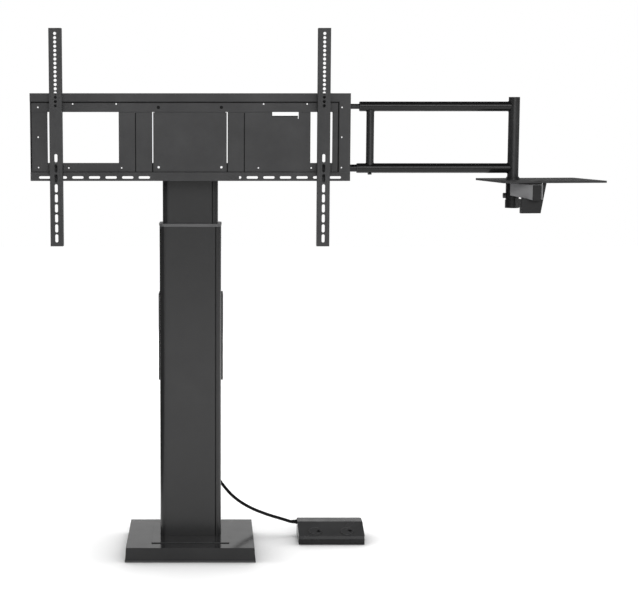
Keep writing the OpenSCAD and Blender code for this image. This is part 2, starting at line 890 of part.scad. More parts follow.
module button(side) {
    color("black") on_slope(side) difference() {
        union() {
            translate([0, 0, -button_skirt]) cylinder(d = button_d, h = button_skirt + button_proud);
            translate([0, 0, -console_wall - fit - button_flange]) cylinder(d = button_d + 3, h = button_flange);
            translate([0, 0, -board_n + 4.3 + button_travel]) cylinder(d = 8, h = board_n - 8);
        }
        translate([0, 0, button_proud - 1]) cylinder(d = button_d - 6, h = 10);
    }
}

module up_button() {
    button(-1);
}

module down_button() {
    button(1);
}

// Frame

module head_bracket() {
    y1 = panel_back + 4;
    low = frame_bottom + 30;
    high = inner_top - 15;
    color("dimgray") difference() {
        union() {
            block([-70, -inner_y - 5, low], [70, -inner_y, high]);
            for (s = [-1, 1]) {
                block([s * 67.5 - 2.5, y1 - eps, low], [s * 67.5 + 2.5, -inner_y, high]);
            }
            block([-70, panel_back, window_bottom + fit], [70, y1, frame_top - top_strip - 2]);
            block([-centre_w / 2 + 4, panel_back, window_top - lap], [centre_w / 2 - 4, y1, frame_top - top_strip - 2]);
        }
        frame_bolt_places() cylinder(d = frame_bolt_d + 2 * fit, h = 60, center = true);
    }
}

// The two frame bolts' places, at the back of the bolt heads, pointing forward
module frame_bolt_places() {
    for (sx = [-1, 1]) {
        translate([sx * (centre_w / 2 - 16), -frame_y, frame_top - 42]) rotate([90, 0, 0]) children();
    }
}

module frame_bolts() {
    color([0.05, 0.05, 0.05]) frame_bolt_places() {
        difference() {
            translate([0, 0, -sheet_t - 12]) cylinder(d = frame_bolt_d, h = sheet_t + 12.6);
            translate([0, 0, -2.4]) cylinder(d = frame_bolt_d / 2, h = 10, $fn = 6);
        }
        translate([0, 0, -sheet_t - 4 - 6.5]) cylinder(d = frame_bolt_d + 7, h = 6.5, $fn = 6);
    }
}

module frame_hole(x, z, d = small_hole_d) {
    hole_y(x, -frame_y, z, d, 12);
}

module top_rail() {
    low = frame_top - top_strip;
    color([0.17, 0.17, 0.17]) difference() {
        extrude_x(-frame_w / 2, frame_w / 2) polygon([
            [strip_front, low], [strip_front, frame_top], [rail_back, frame_top], [rail_back, frame_top - lip_h],
            [rail_back - sheet_t, frame_top - lip_h], [rail_back - sheet_t, frame_top - sheet_t],
            [strip_front + sheet_t, frame_top - sheet_t], [strip_front + sheet_t, low + sheet_t],
            [panel_back, low + sheet_t], [panel_back, window_top], [-frame_y, window_top], [-frame_y, low]
        ]);
        frame_bolt_places() cylinder(d = frame_bolt_d + 2 * fit, h = 60, center = true);
        for (s = [-1, 1]) {
            frame_hole(s * (frame_w / 2 - end_hole_in), frame_top - 42);
            frame_hole(s * (post_out + 58), frame_top - 32);
            frame_hole(s * (frame_w / 2 - 128.5), frame_top - 32);
        }
    }
}

module bottom_rail() {
    high = frame_bottom + bottom_strip;
    back = panel_back + sheet_t;
    color([0.17, 0.17, 0.17]) difference() {
        extrude_x(-frame_w / 2, frame_w / 2) polygon([
            [strip_front, frame_bottom], [strip_front, high], [panel_back, high], [panel_back, window_bottom],
            [back, window_bottom], [back, high - sheet_t], [strip_front + sheet_t, high - sheet_t],
            [strip_front + sheet_t, frame_bottom + sheet_t], [rail_back, frame_bottom + sheet_t],
            [rail_back, frame_bottom]
        ]);
        for (s = [-1, 1], i = [0:6]) {
            slot_y(s * slot_x(i), strip_front + sheet_t / 2, rail_slot_z,
                   rail_slot_len, rail_slot_h, false);
        }
        lower_holes();
    }
}

// The small and large holes through the lower beam and the panels over it
module lower_holes() {
    for (s = [-1, 1]) {
        frame_hole(s * (frame_w / 2 - end_hole_in), frame_bottom + 40);
        frame_hole(s * (frame_w / 2 - 115), frame_bottom + 39);
        frame_hole(s * (post_out + 43), frame_bottom + 39);
        frame_hole(s * (centre_w / 2 - 16), frame_bottom + 41, frame_bolt_d - 1);
    }
}

// The outline of a rear flange, notched round the lower beam, from the post's front to its back
module flange_outline() {
    back = panel_back + sheet_t;
    polygon([
        [-frame_y, panel_low], [-frame_y, panel_high], [panel_back, panel_high],
        [panel_back, frame_top - sheet_t - fit], [post_back, frame_top - sheet_t - fit],
        [post_back, frame_bottom + sheet_t], [back, frame_bottom + sheet_t], [back, window_bottom + fit],
        [panel_back, window_bottom + fit], [panel_back, panel_low]
    ]);
}

// A strip behind the seam under the top rail, from x0 to x1
module seam_lap(x0, x1) {
    extrude_x(x0, x1) polygon([
        [panel_back - fit, panel_high - lap], [panel_back + sheet_t, panel_high - lap],
        [panel_back + sheet_t, window_top + lap], [panel_back, window_top + lap],
        [panel_back, panel_high - seam], [panel_back - fit, panel_high - seam]
    ]);
}

// A front plate with a rear flange at each x given
module flanged_plate(x0, x1, flanges) {
    block([x0, -frame_y, panel_low], [x1, panel_back, panel_high]);
    seam_lap(x0, x1);
    for (x = flanges) {
        extrude_x(x, x + sheet_t) flange_outline();
    }
}

module end_plate() {
    difference() {
        flanged_plate(-frame_w / 2, -frame_w / 2 + end_w, [-frame_w / 2]);
        for (z = [frame_bottom + 40, display_z]) {
            frame_hole(-frame_w / 2 + end_hole_in, z);
        }
    }
}

module left_end_plate() {
    color([0.16, 0.16, 0.16]) end_plate();
}

module right_end_plate() {
    color([0.16, 0.16, 0.16]) difference() {
        mirror([1, 0, 0]) end_plate();
        rod_bars(upper_rod_d + 2 * fit, lower_rod_d + 2 * fit);
    }
}

module frame_posts() {
    color([0.17, 0.17, 0.17]) {
        for (s = [0, 1]) {
            mirror([s, 0, 0]) {
                flanged_plate(post_in, post_out, [post_in, post_out - sheet_t]);
                block([post_out - eps, panel_back, window_bottom + fit],
                      [post_out + seam + lap, panel_back + sheet_t, panel_high - lap - fit]);
                block([post_out - eps, panel_back, panel_high - lap - eps],
                      [post_out + seam - fit, panel_back + sheet_t, window_top + lap]);
            }
        }
        // The tab behind the bottom rail's slot nearest the middle, with a plug that fills part of the slot
        block([post_in, panel_back + sheet_t, frame_bottom + sheet_t + fit],
              [slot_x(6) + slot_tab_past, panel_back + 2 * sheet_t, panel_low]);
        intersection() {
            slot_y(slot_x(6), strip_front + 5, rail_slot_z, rail_slot_len - 2 * fit, rail_slot_h - 2 * fit, false);
            block([0, strip_front, frame_bottom], [slot_x(6) + slot_tab_past, panel_back + sheet_t + eps, panel_low]);
        }
    }
}

// A thin panel over the lower beam, with a stiffening flange along one side
module thin_panel(x0, x1, flange_x) {
    block([x0, -frame_y, panel_low], [x1, panel_back, panel_high]);
    seam_lap(x0, x1);
    block([flange_x, -frame_y, window_bottom + fit], [flange_x + sheet_t, panel_back + 14, panel_high]);
}

module left_panel() {
    x1 = -post_out - seam;
    color([0.17, 0.17, 0.17]) difference() {
        thin_panel(x1 - left_panel_w, x1, x1 - left_panel_w);
        lower_holes();
    }
}

module centre_panel() {
    color([0.16, 0.16, 0.16]) difference() {
        block([-centre_w / 2, -frame_y, panel_low], [centre_w / 2, panel_back, panel_high]);
        lower_holes();
    }
}

module device_panel() {
    x0 = post_out + seam;
    notch_x = x0 + notch_in;
    color([0.15, 0.15, 0.15]) difference() {
        union() {
            thin_panel(x0, x0 + device_w, x0 + device_w - sheet_t);
            block([notch_x, -frame_y, panel_high - notch_h - sheet_t],
                  [notch_x + notch_w - 2, panel_back + 14, panel_high - notch_h]);
        }
        block([notch_x, -frame_y - eps, panel_high - notch_h],
              [notch_x + notch_w, panel_back + sheet_t + eps, window_top + lap + eps]);
        block([notch_x + notch_w - 2, -frame_y - eps, panel_high - notch_h - 9],
              [notch_x + notch_w, panel_back + eps, panel_high]);
        lower_holes();
    }
}

// Side arm

// The two slide rods, or the same bars at other diameters to cut their holes
module rod_bars(upper_d, lower_d) {
    bar_x(rod_start, rod_end, -rod_y, upper_z, upper_d);
    bar_x(rod_start, rod_end, -rod_y, lower_z, lower_d);
}

module slide_rods() {
    color([0.3, 0.3, 0.3]) rod_bars(upper_rod_d, lower_rod_d);
}

module arm_holder() {
    x1 = frame_w / 2 + holder_t;
    back = rail_back;
    low = frame_bottom + bottom_strip + fit;
    high = frame_top - top_strip - fit;
    color([0.17, 0.17, 0.17]) difference() {
        union() {
            block([frame_w / 2 - holder_w, strip_front, low], [x1, -frame_y, high]);
            block([frame_w / 2, strip_front, frame_bottom], [x1, back, frame_top]);
        }
        rod_bars(upper_rod_d + 2 * running, lower_rod_d + 2 * running);
        for (z = [frame_bottom + 40, display_z, frame_top - 42]) {
            frame_hole(frame_w / 2 - end_hole_in, z);
        }
    }
}

module arm_tube(x, z) {
    difference() {
        bar_x(x, pole_x, -rod_y, z, tube_d);
        bar_x(x - eps, pole_x + eps, -rod_y, z, tube_bore);
        translate([pole_x, -rod_y, z]) cylinder(r = pole_gap, h = 100, center = true);
    }
}

module upper_tube() {
    color([0.06, 0.06, 0.06]) arm_tube(tube_x + upper_tube_in, upper_z);
}

module lower_tube() {
    color([0.06, 0.06, 0.06]) difference() {
        arm_tube(tube_x, lower_z);
        translate([brace_x, -rod_y, lower_z - tube_d]) cylinder(d = 6 + 2 * running, h = tube_d);
    }
}

module tube_bush(x, z, rod_d) {
    difference() {
        union() {
            bar_x(x - 2.5, x, -rod_y, z, tube_d - 1);
            bar_x(x - eps, x + bush_len, -rod_y, z, tube_bore - 2 * running);
        }
        bar_x(x - 10, x + 100, -rod_y, z, rod_d + 2 * running);
    }
}

module tube_bushes() {
    color([0.04, 0.04, 0.04]) {
        tube_bush(tube_x + upper_tube_in, upper_z, upper_rod_d);
        tube_bush(tube_x, lower_z, lower_rod_d);
    }
}

module brace_post() {
    color([0.06, 0.06, 0.06]) difference() {
        translate([brace_x, -rod_y, lower_z]) cylinder(d = brace_d, h = upper_z - lower_z);
        for (z = [lower_z, upper_z]) {
            bar_x(tube_x, pole_x, -rod_y, z, tube_d + 0.2);
        }
    }
}

module tube_screw() {
    rod_low = lower_z - lower_rod_d / 2;
    color("black") translate([brace_x, -rod_y, 0]) {
        translate([0, 0, lower_z - tube_d / 2 - fit - 4.5]) cylinder(d = 12, h = 4.5);
        translate([0, 0, lower_z - tube_d / 2 - 4]) cylinder(d = 6, h = rod_low - fit - lower_z + tube_d / 2 + 4);
    }
}

module pole() {
    color([0.06, 0.06, 0.06]) translate([pole_x, -rod_y, 0]) difference() {
        translate([0, 0, stop_low + 3]) cylinder(d = pole_d, h = pole_top - stop_low - 3);
        translate([0, 0, stop_low]) cylinder(d = pole_d - 2 * pole_wall, h = 2000);
    }
}

module pole_cap() {
    color([0.04, 0.04, 0.04]) translate([pole_x, -rod_y, pole_top]) {
        cylinder(d = pole_d, h = 3);
        translate([0, 0, -14]) cylinder(d = pole_d - 2 * pole_wall - 2 * running, h = 14 + eps);
    }
}

module stop_collar() {
    color([0.06, 0.06, 0.06]) translate([pole_x, -rod_y, stop_low]) difference() {
        cylinder(d = stop_d, h = stop_h);
        translate([0, 0, 3]) cylinder(d = pole_d + 2 * running, h = 100);
    }
}

// Tray

// The tray's own frame: origin on the pole's axis, turned with the tray
module on_tray(turn = 0) {
    translate([pole_x, -rod_y, 0]) rotate([0, 0, tray_turn + turn]) children();
}

module tray_plate() {
    color([0.1, 0.1, 0.1]) on_tray() translate([tray_side, tray_ahead, 0]) difference() {
        translate([0, 0, tray_z - rim_h]) linear_extrude(rim_h) round_rect(tray_w, tray_d, tray_r);
        translate([0, 0, tray_z - rim_h - eps]) linear_extrude(rim_h - tray_t + eps)
            round_rect(tray_w - 2 * tray_t, tray_d - 2 * tray_t, tray_r - tray_t);
        translate([-tray_side, -tray_ahead, 0]) cylinder(d = hub_d + 4.4, h = 3000);
    }
}

module tray_hub() {
    color([0.08, 0.08, 0.08]) difference() {
        union() {
            on_tray() rotate_extrude() polygon([
                [0, sleeve_low], [hub_d / 2, sleeve_low], [hub_d / 2, tray_z], [hub_d / 2 + 1.5, tray_z],
                [hub_d / 2 + 1, tray_z + 2.5], [pole_d / 2 + 2, tray_z + 9], [0, tray_z + 9]
            ]);
            on_tray(carrier_turn)
                block([-carrier_w / 2 - 3, 8 - carrier_len, hub_low], [carrier_w / 2 + 3, hub_d / 2 + 6, tray_low]);
        }
        on_tray() cylinder(d = pole_d + 2 * running, h = 3000);
        knob_bar(6 + 2 * running, pole_d, 100);
    }
}

// A bar along -X out of the pole at the knob's height, between two distances from its axis
module knob_bar(d, from, to) {
    bar_x(pole_x - to, pole_x - from * 0.1, -rod_y, knob_z, d);
}

module tray_knob() {
    color("black") {
        bar_x(pole_x - 28, pole_x - hub_d / 2 - fit, -rod_y, knob_z, knob_d);
        bar_x(pole_x - 24, pole_x - pole_d / 2 - fit, -rod_y, knob_z, 6);
    }
}

module tray_carrier() {
    side_back = -hub_d / 2 + 6;
    front = -carrier_len;
    color([0.5, 0.5, 0.5]) on_tray(carrier_turn) {
        block([-carrier_w / 2, front, hub_low - tray_t], [carrier_w / 2, side_back - 8, hub_low]);
        for (s = [-1, 1]) {
            extrude_x(s * (carrier_w / 2 - tray_t / 2) - tray_t / 2, s * (carrier_w / 2 - tray_t / 2) + tray_t / 2) polygon([
                [side_back, hub_low - 36], [front, hub_low - carrier_h], [front, hub_low],
                [side_back, hub_low]
            ]);
        }
    }
}

// The dark housing under the carrier, with its apron over the carrier's front
module carrier_box() {
    top = hub_low - carrier_h;
    low = top - 40.5;
    x0 = -8;
    x1 = 51;
    y0 = -109;
    depth = 18;
    apron_right = carrier_w / 2 - 8;
    color([0.05, 0.05, 0.05]) {
        on_tray() {
            difference() {
                block([x0, y0, low], [x1, y0 + depth, top]);
                block([x0 + 3, y0 + 3, low - eps], [x1 - 3, y0 + depth - 3, top - 3]);
            }
            // The raised ear outside the carrier's left cheek, and the lug beside it
            translate([0, y0 + 7, 0]) rotate([90, 0, 0]) linear_extrude(7) polygon([
                [x0, top - 3], [x0 + 15, top - 3], [x0 + 15, top + 4], [x0, top + 7]
            ]);
            block([x0 - 3.5, y0 + 2, top - 23], [x0 + 2.5, y0 + depth + 28, top + 2]);
            translate([0, y0 + 3, 0]) rotate([90, 0, 0]) linear_extrude(3) polygon([
                [x1 - 3, low], [x1, low], [x1 + 17, tray_low], [x1 + 5, tray_low], [x1 + 0.5, top], [x1 - 3, top]
            ]);
        }
        on_tray(carrier_turn) {
            block([-carrier_w / 2, -carrier_len - tray_t, top - 2], [apron_right, -carrier_len, hub_low - eps]);
            block([-carrier_w / 2, -carrier_len - tray_t, top - 2], [apron_right, -carrier_len + 34, top]);
            // The fin inside the carrier's left cheek
            extrude_x(tray_t + 0.4 - carrier_w / 2, tray_t + 3.4 - carrier_w / 2) polygon([
                [-carrier_len - 1, top - 1], [-carrier_len + 34, top - 1], [-carrier_len + 34, top + 9],
                [-carrier_len - 1, top + 6]
            ]);
        }
    }
}

// Display arms

module display_arm(side) {
    face = -arm_face_y;
    low = display_z + arm_offset - arm_len / 2;
    high = low + arm_len;
    back = strip_front - hook_gap;
    catch_top = frame_bottom - hook_gap;
    color([0.15, 0.15, 0.15]) translate([side * arm_x, 0, 0]) difference() {
        union() {
            block([-arm_w / 2, face, low], [arm_w / 2, face + arm_t, high]);
            block([-arm_w / 2, back - arm_t, catch_top - hook_t], [arm_w / 2, back, frame_bottom + bottom_strip]);
            for (s = [-1, 1]) {
                side = s * (arm_w / 2 - arm_t / 2);
                rib = s * (arm_w / 2 - hook_in);
                extrude_x(side - arm_t / 2, side + arm_t / 2)
                    polygon([[face, low], [back, low], [back, high], [face, high]]);
                extrude_x(rib - arm_t / 2, rib + arm_t / 2) polygon([
                    [face, low], [back, low], [back, catch_top - hook_t - 4], [rail_back - 4, catch_top - hook_t],
                    [rail_back - 4, catch_top], [back, catch_top], [back, frame_top + hook_gap],
                    [rail_back + hook_gap, frame_top + hook_gap], [rail_back + hook_gap, frame_top - lip_h],
                    [rail_back + hook_gap + hook_t, frame_top - lip_h + 6],
                    [rail_back + hook_gap + hook_t, frame_top + hook_gap + hook_t - 4],
                    [rail_back + hook_gap + hook_t - 8, frame_top + hook_gap + hook_t],
                    [back, frame_top + hook_gap + hook_t + 6], [back, high], [face, high]
                ]);
            }
        }
        for (i = [0:hole_count - 1]) {
            hole_y(0, face, high - hole_end - i * hole_pitch, hole_d);
        }
        for (i = [0:slot_count - 1]) {
            slot_y(0, face, low + slot_end + i * slot_pitch, slot_len, slot_w, true);
        }
    }
}

module left_arm() {
    display_arm(-1);
}

module right_arm() {
    display_arm(1);
}

floor_pads();
base_plate();
base_cover();
foot_trim();
column_flange();
hex_bolts();
outer_column();
column_collar();
upper_glide_pads();
motor();
gearhead();
bearing_block();
thrust_bearing();
wall_bracket();
control_box();
control_lid();
control_board();
power_inlet();
cord_glands();
control_cord();
console_base();
console_top();
console_feet();
console_board();
up_button();
down_button();
lead_screw();
shaft_coupling();
inner_column();
column_cap();
lower_glide_pads();
nut_plate();
spindle_nut();
head_bracket();
top_rail();
bottom_rail();
left_end_plate();
right_end_plate();
frame_posts();
left_panel();
centre_panel();
device_panel();
frame_bolts();
arm_holder();
slide_rods();
left_arm();
right_arm();
upper_tube();
lower_tube();
tube_bushes();
brace_post();
pole();
pole_cap();
stop_collar();
tube_screw();
tray_plate();
tray_hub();
tray_carrier();
carrier_box();
tray_knob();
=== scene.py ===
import json
import math

import bmesh
import bpy
from mathutils import Matrix, Vector


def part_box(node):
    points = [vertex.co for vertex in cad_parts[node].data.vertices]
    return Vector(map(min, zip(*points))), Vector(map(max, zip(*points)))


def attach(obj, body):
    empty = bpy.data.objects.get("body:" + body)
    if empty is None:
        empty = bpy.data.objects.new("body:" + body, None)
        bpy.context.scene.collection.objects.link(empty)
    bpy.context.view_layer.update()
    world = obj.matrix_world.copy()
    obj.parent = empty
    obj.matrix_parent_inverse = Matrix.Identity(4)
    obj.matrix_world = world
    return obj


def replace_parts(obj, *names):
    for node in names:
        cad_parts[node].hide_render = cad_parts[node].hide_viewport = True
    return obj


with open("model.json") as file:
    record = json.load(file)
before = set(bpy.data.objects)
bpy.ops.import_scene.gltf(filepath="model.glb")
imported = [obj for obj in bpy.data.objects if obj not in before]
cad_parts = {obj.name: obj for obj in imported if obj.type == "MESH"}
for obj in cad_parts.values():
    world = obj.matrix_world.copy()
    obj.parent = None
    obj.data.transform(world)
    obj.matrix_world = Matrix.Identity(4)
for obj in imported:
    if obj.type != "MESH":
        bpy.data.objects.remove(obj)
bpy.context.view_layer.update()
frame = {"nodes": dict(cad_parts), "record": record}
cad = frame["nodes"]
scene = bpy.context.scene

# Places and sizes of pieces are in millimetres. The camera, lights, stage and materials are in metres.

# Camera
CAMERA_AT = (0.0507, -4.8391, 1.3330)
CAMERA_TILT = 6.508  # degrees below level
CAMERA_LENS = 87.974
CAMERA_SENSOR = 36
CAMERA_SHIFT = 0.1758
CAMERA_REACH = 60

cam = bpy.data.objects.new("camera", bpy.data.cameras.new("camera"))
scene.collection.objects.link(cam)
cam.location = CAMERA_AT
cam.rotation_euler = (math.radians(90 - CAMERA_TILT), 0, 0)
cam.data.lens = CAMERA_LENS
cam.data.sensor_width = CAMERA_SENSOR
cam.data.shift_x = CAMERA_SHIFT
cam.data.clip_end = CAMERA_REACH
scene.camera = cam
scene.view_settings.view_transform = "Standard"


def mm(*v):
    """Millimetres as metres."""
    return tuple(x / 1000 for x in v)


# Shader nodes
def new_material(name):
    m = bpy.data.materials.new(name)
    m.use_nodes = True
    nt = m.node_tree
    nt.nodes.clear()
    out = nt.nodes.new("ShaderNodeOutputMaterial")
    bsdf = nt.nodes.new("ShaderNodeBsdfPrincipled")
    nt.links.new(bsdf.outputs["BSDF"], out.inputs["Surface"])
    return m, nt, bsdf


def object_coords(nt, scale=(1, 1, 1)):
    tc = nt.nodes.new("ShaderNodeTexCoord")
    mp = nt.nodes.new("ShaderNodeMapping")
    mp.inputs["Scale"].default_value = scale
    nt.links.new(tc.outputs["Object"], mp.inputs["Vector"])
    return mp.outputs["Vector"]


def noise(nt, vector, scale, detail=3.0, rough=0.5):
    n = nt.nodes.new("ShaderNodeTexNoise")
    n.inputs["Scale"].default_value = scale
    n.inputs["Detail"].default_value = detail
    n.inputs["Roughness"].default_value = rough
    nt.links.new(vector, n.inputs["Vector"])
    return n.outputs["Fac"]


def remap(nt, value, from_low, from_high, to_low, to_high):
    m = nt.nodes.new("ShaderNodeMapRange")
    for i, v in enumerate((from_low, from_high, to_low, to_high)):
        m.inputs[i + 1].default_value = v
    nt.links.new(value, m.inputs["Value"])
    return m.outputs["Result"]


def mix_colour(nt, factor, a, b):
    m = nt.nodes.new("ShaderNodeMix")
    m.data_type = "RGBA"
    nt.links.new(factor, m.inputs["Factor"])
    for socket, value in ((m.inputs[6], a), (m.inputs[7], b)):
        if isinstance(value, tuple):
            socket.default_value = (*value, 1)
        else:
            nt.links.new(value, socket)
    return m.outputs[2]


def math_node(nt, op, a, b):
    m = nt.nodes.new("ShaderNodeMath")
    m.operation = op
    for i, v in enumerate((a, b)):
        if isinstance(v, (int, float)):
            m.inputs[i].default_value = v
        else:
            nt.links.new(v, m.inputs[i])
    return m.outputs[0]


def rounded_edges(nt, radius):
    """The normal of edges rounded by a radius, and a mask that is 1 on those edges."""
    bevel = nt.nodes.new("ShaderNodeBevel")
    bevel.samples = 6
    bevel.inputs["Radius"].default_value = radius
    geo = nt.nodes.new("ShaderNodeNewGeometry")
    dot = nt.nodes.new("ShaderNodeVectorMath")
    dot.operation = "DOT_PRODUCT"
    nt.links.new(bevel.outputs["Normal"], dot.inputs[0])
    nt.links.new(geo.outputs["Normal"], dot.inputs[1])
    return bevel.outputs["Normal"], remap(nt, dot.outputs["Value"], 0.75, 0.99, 1, 0)


def bump(nt, height, normal, strength, distance):
    b = nt.nodes.new("ShaderNodeBump")
    b.inputs["Strength"].default_value = strength
    b.inputs["Distance"].default_value = distance
    nt.links.new(height, b.inputs["Height"])
    nt.links.new(normal, b.inputs["Normal"])
    return b.outputs["Normal"]


# Materials. Noises are given by scale, detail and roughness.
CLOUD = (7, 5, 0.6)
SMUDGE = (23, 4, 0.55)
METAL_CLOUD = (12, 4, 0.6)
METAL_LINES = 1400.0  # the noise's scale across the brushing
METAL_ALONG = 14.0  # and along it
METAL_DARK, METAL_BRIGHT = 0.82, 1.25  # of the colour, between the lines and on the edges, where the brighter colour is a painted highlight
METAL_VARY = 0.06  # of the roughness
METAL_EDGE = 0.0004
BLUE_CAST = 1.02
WORN_AND_SHEEN_LIFT = 0.004  # added to a colour on the edges, which are partly rubbed wear and partly a painted highlight


def coating(name, level, rough, grain=900.0, grain_depth=0.00004, vary=0.12, rough_vary=0.05,
            edge=0.0006, edge_gain=1.8, specular=0.5, tint=None):
    """A painted or moulded surface: fine grain, cloudy colour and gloss, and lighter edges that are partly
    rubbed wear and partly a painted highlight.
    """
    m, nt, bsdf = new_material(name)
    base = tint or (level, level, level * BLUE_CAST)
    at = object_coords(nt)
    cloud = noise(nt, at, *CLOUD)
    fine = noise(nt, at, grain, 2, 0.6)
    smudge = noise(nt, at, *SMUDGE)
    normal, mask = rounded_edges(nt, edge)
    low = tuple(c * (1 - vary) for c in base)
    high = tuple(min(1, c * (1 + vary)) for c in base)
    body = mix_colour(nt, remap(nt, cloud, 0.35, 0.65, 0, 1), low, high)
    # Edges get a lighter colour: partly rubbed wear, partly a painted highlight.
    worn_and_sheen = tuple(min(1, c * edge_gain + WORN_AND_SHEEN_LIFT) for c in base)
    speck = remap(nt, smudge, 0.38, 0.62, 0.35, 0.9)
    colour = mix_colour(nt, math_node(nt, "MULTIPLY", mask, speck), body, worn_and_sheen)
    gloss = remap(nt, smudge, 0.3, 0.7, max(0.02, rough - rough_vary), rough + rough_vary)
    nt.links.new(colour, bsdf.inputs["Base Color"])
    nt.links.new(gloss, bsdf.inputs["Roughness"])
    nt.links.new(bump(nt, fine, normal, 0.35, grain_depth), bsdf.inputs["Normal"])
    bsdf.inputs["Specular IOR Level"].default_value = specular
    return m


def brushed(name, colour, rough, along, depth):
    """Metal with fine lines along one axis."""
    m, nt, bsdf = new_material(name)
    stretch = tuple(METAL_ALONG if axis == along else METAL_LINES for axis in "xyz")
    lines = noise(nt, object_coords(nt, stretch), 1.0, 3, 0.6)
    cloud = noise(nt, object_coords(nt), *METAL_CLOUD)
    normal, mask = rounded_edges(nt, METAL_EDGE)
    body = mix_colour(nt, lines, tuple(c * METAL_DARK for c in colour), colour)
    # The edges get a brighter colour: a painted highlight.
    bright = tuple(min(1, c * METAL_BRIGHT) for c in colour)
    gloss = remap(nt, cloud, 0.3, 0.7, max(0.05, rough - METAL_VARY), rough + METAL_VARY)
    nt.links.new(mix_colour(nt, mask, body, bright), bsdf.inputs["Base Color"])
    nt.links.new(gloss, bsdf.inputs["Roughness"])
    nt.links.new(bump(nt, lines, normal, 0.3, depth), bsdf.inputs["Normal"])
    bsdf.inputs["Metallic"].default_value = 1.0
    return m


def board_material():
    """A circuit board's lacquer with its tracks."""
    m, nt, bsdf = new_material("green_board")
    at = object_coords(nt)
    brick = nt.nodes.new("ShaderNodeTexBrick")
    brick.inputs["Scale"].default_value = 90
    brick.inputs["Color1"].default_value = (0.012, 0.10, 0.045, 1)
    brick.inputs["Color2"].default_value = (0.016, 0.13, 0.055, 1)
    brick.inputs["Mortar"].default_value = (0.03, 0.22, 0.10, 1)
    brick.inputs["Mortar Size"].default_value = 0.012
    nt.links.new(at, brick.inputs["Vector"])
    nt.links.new(brick.outputs["Color"], bsdf.inputs["Base Color"])
    normal, _ = rounded_edges(nt, 0.0002)
    nt.links.new(bump(nt, noise(nt, at, 500, 2), normal, 0.2, 0.00002), bsdf.inputs["Normal"])
    nt.links.new(remap(nt, noise(nt, at, 60), 0.3, 0.7, 0.25, 0.4), bsdf.inputs["Roughness"])
    return m


# Each coating's colour level, its roughness, and where it differs from a plain coating
COATINGS = {
    "base_gloss": (0.025, 0.14, dict(grain=1500, grain_depth=0.000004, vary=0.10, rough_vary=0.03,
                                     edge=0.0012, specular=0.16)),
    # Lighter than base_gloss, for the trim plate's front edge: painted light
    "trim_edge": (0.045, 0.35, dict(grain=1500, grain_depth=0.000004, vary=0.05, edge_gain=1.1,
                                    specular=0.2)),
    "column_paint": (0.018, 0.24, dict(grain=1300, grain_depth=0.00001, vary=0.05, rough_vary=0.03,
                                       specular=0.42)),
    "frame_paint": (0.047, 0.50, dict(grain=1100, specular=0.25)),
    "tube_paint": (0.008, 0.20, dict(grain=1300, grain_depth=0.00001, specular=0.3)),
    "pole_paint": (0.022, 0.22, dict(grain=1300, grain_depth=0.00001, specular=0.6)),
    "tray_paint": (0.045, 0.60, dict(grain=1200, grain_depth=0.00003, specular=0.15)),
    "black_paint": (0.018, 0.48, dict(grain=1200, grain_depth=0.00003)),
    "dark_steel": (0.045, 0.42, dict(grain=800, grain_depth=0.00005)),
    "light_metal": (0.28, 0.36, dict(grain_depth=0.00002, edge_gain=1.3)),
    "grey_plastic": (0.085, 0.42, dict(grain=1500, edge_gain=1.2)),
    "black_plastic": (0.014, 0.46, dict(grain=1400, grain_depth=0.00006, edge_gain=1.6)),
    "console_plastic": (0.014, 0.26, dict(grain=1700, grain_depth=0.00001, edge=0.0012, edge_gain=2.2,
                                          specular=0.20)),
    # A lighter copy of console_plastic for the console's upper shell and buttons: painted light on its
    # slope and top
    "console_plastic_lit": (0.043, 0.24, dict(grain=1700, grain_depth=0.00001, edge=0.0014, edge_gain=2.6,
                                        specular=0.20)),
    "housing": (0.019, 0.5, dict(grain=1400, grain_depth=0.00003, edge_gain=1.4, specular=0.25)),
    "hub_paint": (0.012, 0.38, dict(grain=1100, grain_depth=0.00002, specular=0.3)),
    "ivory_plastic": (0.6, 0.4, dict(edge_gain=1.05, tint=(0.75, 0.72, 0.62))),
    "rubber": (0.018, 0.72, dict(grain=1000, grain_depth=0.00008, specular=0.35)),
    "cord_rubber": (0.003, 0.45, dict(grain=1500, grain_depth=0.00002, edge_gain=1.0, specular=0.15)),
    "mark": (0.003, 0.6, dict(grain=1500, grain_depth=0.00001, edge_gain=1.0, specular=0.2)),
}
# Each brushed metal's colour, its roughness, the axis that its lines follow, and their depth
METALS = {
    "zinc_steel": ((0.60, 0.60, 0.59), 0.30, "x", 0.00002),
    "polished_steel": ((0.72, 0.72, 0.72), 0.14, "z", 0.000004),
    "satin_steel": ((0.035, 0.035, 0.036), 0.28, "x", 0.00002),
    "aluminium": ((0.72, 0.73, 0.74), 0.28, "z", 0.00002),
    "brass": ((0.72, 0.55, 0.28), 0.25, "x", 0.00002),
}
# Nodes that look different from the rest of their slot
NODE_LOOKS = {
    "pole": "pole_paint",
    "brace_post": "pole_paint",
    # The console's upper shell and its buttons take the lighter copy of its plastic, painted light
    "console_top": "console_plastic_lit",
    "up_button": "console_plastic_lit",
    "down_button": "console_plastic_lit",
    "carrier_box": "housing",
    "tray_hub": "hub_paint",
    "stop_collar": "hub_paint",
}

mats = {name: coating(name, level, rough, **rest) for name, (level, rough, rest) in COATINGS.items()}
mats.update({name: brushed(name, *values) for name, values in METALS.items()})
mats["green_board"] = board_material()

for sub in frame["record"]["subparts"]:
    node = sub["node"]
    cad[node].data.materials.clear()
    cad[node].data.materials.append(mats[NODE_LOOKS.get(node, sub["material_slot"])])


